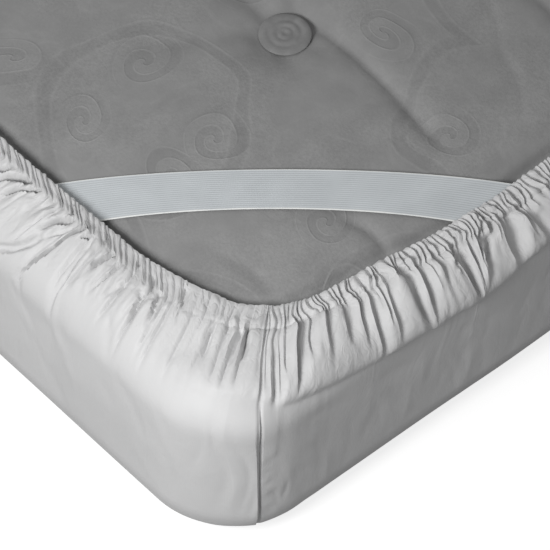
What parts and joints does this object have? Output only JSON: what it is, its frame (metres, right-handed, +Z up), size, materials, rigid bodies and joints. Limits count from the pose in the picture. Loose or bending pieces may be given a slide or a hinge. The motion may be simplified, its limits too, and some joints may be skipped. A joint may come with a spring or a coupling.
{
  "type": "fitted sheet on mattress",
  "caption": "Silver-grey cotton fitted sheet on a single mattress lying underside up: gathered elastic hem, seamed corners, and an elastic strap across each corner.",
  "frame": {"origin": "middle of the sheet's flat floor face, under the middle of the mattress", "axes": "+Z up, out of the mattress's underside, which faces up as the sheet's hem is shown; +X along the mattress's length; +Y across its width"},
  "size_m": [2.007, 0.9126, 0.2178],
  "materials": {
    "sheet_cotton": "silver-grey cotton sateen, soft sheen, fine creases",
    "mattress_ticking": "mid-grey damask ticking, tone on tone scrolls and leaves",
    "strap_elastic": "pale ribbed woven elastic with brighter edges",
    "button_felt": "grey cloth-covered button with pressed rings"
  },
  "bodies": {
    "root": {"fitted_sheet": "sheet_cotton", "mattress": "mattress_ticking", "corner_strap_1": "strap_elastic", "corner_strap_2": "strap_elastic", "corner_strap_3": "strap_elastic", "corner_strap_4": "strap_elastic", "tuft_button_1": "button_felt", "tuft_button_2": "button_felt", "tuft_button_3": "button_felt", "tuft_button_4": "button_felt", "tuft_button_5": "button_felt", "tuft_button_6": "button_felt", "tuft_button_7": "button_felt", "tuft_button_8": "button_felt", "tuft_button_9": "button_felt", "tuft_button_10": "button_felt", "tuft_button_11": "button_felt", "tuft_button_12": "button_felt"}
  },
  "joints": []
}
